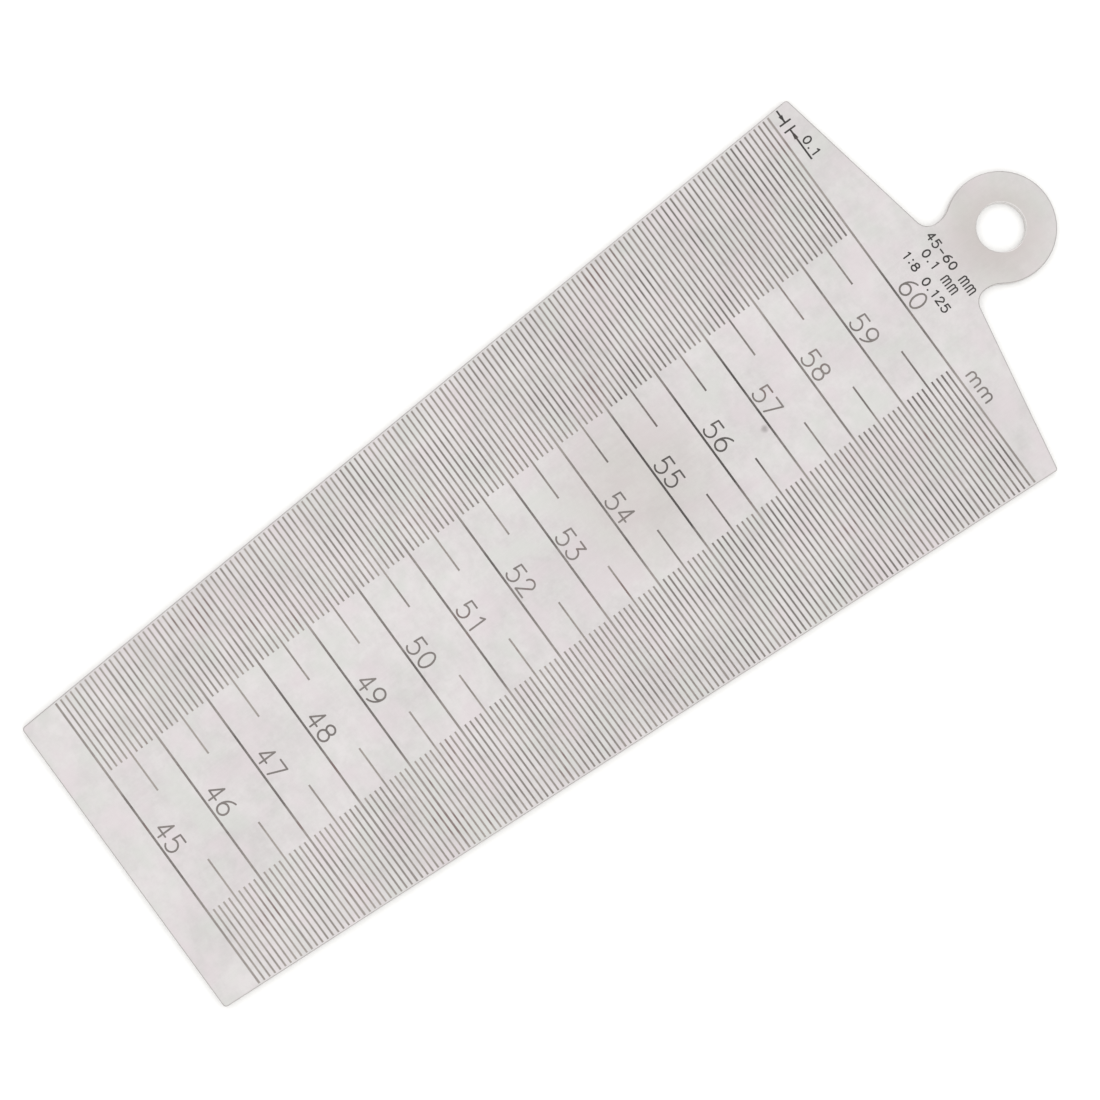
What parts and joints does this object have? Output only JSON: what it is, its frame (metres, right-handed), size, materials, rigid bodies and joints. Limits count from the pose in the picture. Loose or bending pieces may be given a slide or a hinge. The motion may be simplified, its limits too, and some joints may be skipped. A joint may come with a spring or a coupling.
{
  "type": "taper gap gauge",
  "caption": "Flat tapered steel gap gauge with etched millimetre graduations across its face, sloped shoulders and a pierced hanging eye.",
  "frame": {"origin": "centre of the leaf's length and width, on its plain back face", "axes": "+Z out of the marked face, +Y from the narrow end towards the hanging eye, +X in the direction in which the numerals read"},
  "size_m": [0.0604, 0.1494, 0.0012],
  "materials": {
    "stainless_steel": "satin ground and blasted stainless steel",
    "black_enamel": "matt black enamel, baked in etched recesses"
  },
  "bodies": {
    "root": {"gauge_leaf": "stainless_steel", "left_half_graduations": "black_enamel", "left_tenth_graduations": "black_enamel", "numeral_45": "black_enamel", "numeral_46": "black_enamel", "numeral_47": "black_enamel", "numeral_48": "black_enamel", "numeral_49": "black_enamel", "numeral_50": "black_enamel", "numeral_51": "black_enamel", "numeral_52": "black_enamel", "numeral_53": "black_enamel", "numeral_54": "black_enamel", "numeral_55": "black_enamel", "numeral_56": "black_enamel", "numeral_57": "black_enamel", "numeral_58": "black_enamel", "numeral_59": "black_enamel", "numeral_60": "black_enamel", "range_mark": "black_enamel", "right_half_graduations": "black_enamel", "right_tenth_graduations": "black_enamel", "step_mark": "black_enamel", "taper_mark": "black_enamel", "tenth_key": "black_enamel", "unit_mark": "black_enamel", "whole_millimetre_graduations": "black_enamel"}
  },
  "joints": []
}
